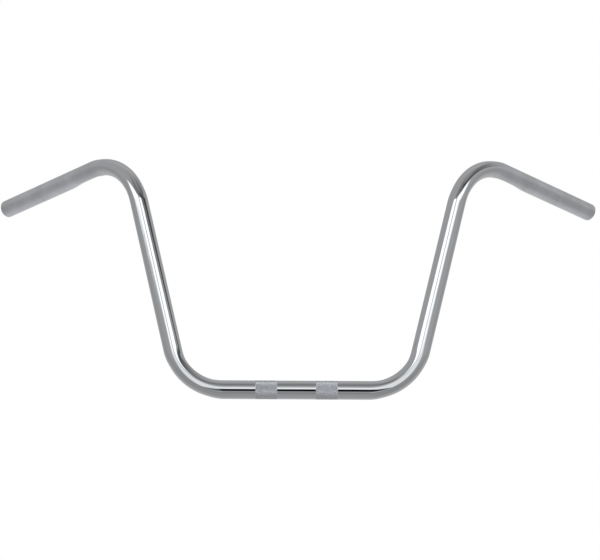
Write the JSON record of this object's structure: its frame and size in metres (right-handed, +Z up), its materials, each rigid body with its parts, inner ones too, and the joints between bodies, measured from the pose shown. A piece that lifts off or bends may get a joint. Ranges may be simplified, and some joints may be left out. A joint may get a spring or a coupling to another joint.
{
  "type": "motorcycle handlebar",
  "caption": "Tall chromed steel motorcycle handlebar bent from one tube, with a knurled clamp section, leaning risers, swept-back grip ends and wiring dimples.",
  "frame": {"origin": "middle of the straight clamp section, on the axis of the tube", "axes": "+X along the clamp section to the rider's left, +Y to the rider, +Z up, with the risers leaning 21 degrees back as on the machine"},
  "size_m": [0.886, 0.3275, 0.3329],
  "materials": {
    "chromed_steel": "polished chrome plate on steel tube"
  },
  "bodies": {
    "root": {"handlebar_tube": "chromed_steel"}
  },
  "joints": []
}
